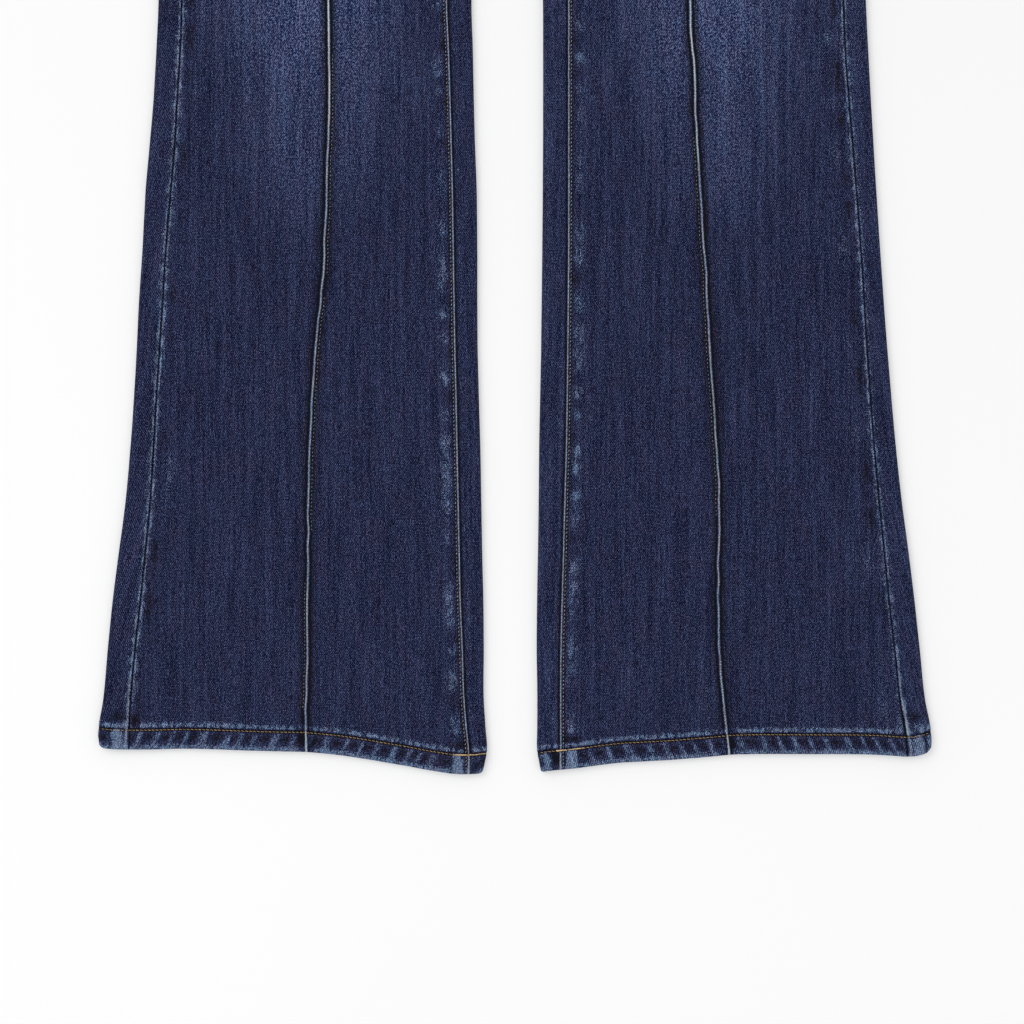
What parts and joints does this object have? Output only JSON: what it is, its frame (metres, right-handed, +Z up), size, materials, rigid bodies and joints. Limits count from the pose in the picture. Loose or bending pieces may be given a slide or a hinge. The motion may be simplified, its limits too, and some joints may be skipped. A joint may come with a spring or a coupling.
{
  "type": "wide leg jeans",
  "caption": "Wide leg denim jeans laid flat, front up, with a pintuck down each flared leg, scoop front pockets, a fly, a waistband with belt loops and patch back pockets.",
  "frame": {"origin": "middle of the garment's outline, on the surface that it lies on", "axes": "+X to the wearer's left, +Y from the hems to the waist, +Z up from the surface"},
  "size_m": [0.566, 1.1204, 0.0126],
  "materials": {
    "denim": "dark indigo twill, pressed",
    "zip": "brass chain on a dark tape",
    "button": "antique copper"
  },
  "bodies": {
    "root": {"front_right": "denim", "front_left": "denim", "back_right": "denim", "back_left": "denim", "yoke_right": "denim", "yoke_left": "denim", "hem_right": "denim", "hem_left": "denim", "waistband": "denim", "pocket_facing_right": "denim", "pocket_facing_left": "denim", "pocket_back_right": "denim", "pocket_back_left": "denim", "loop_front_right": "denim", "loop_front_left": "denim", "loop_back_right": "denim", "loop_back_left": "denim", "loop_back_middle": "denim", "zip": "zip", "button": "button"}
  },
  "joints": []
}
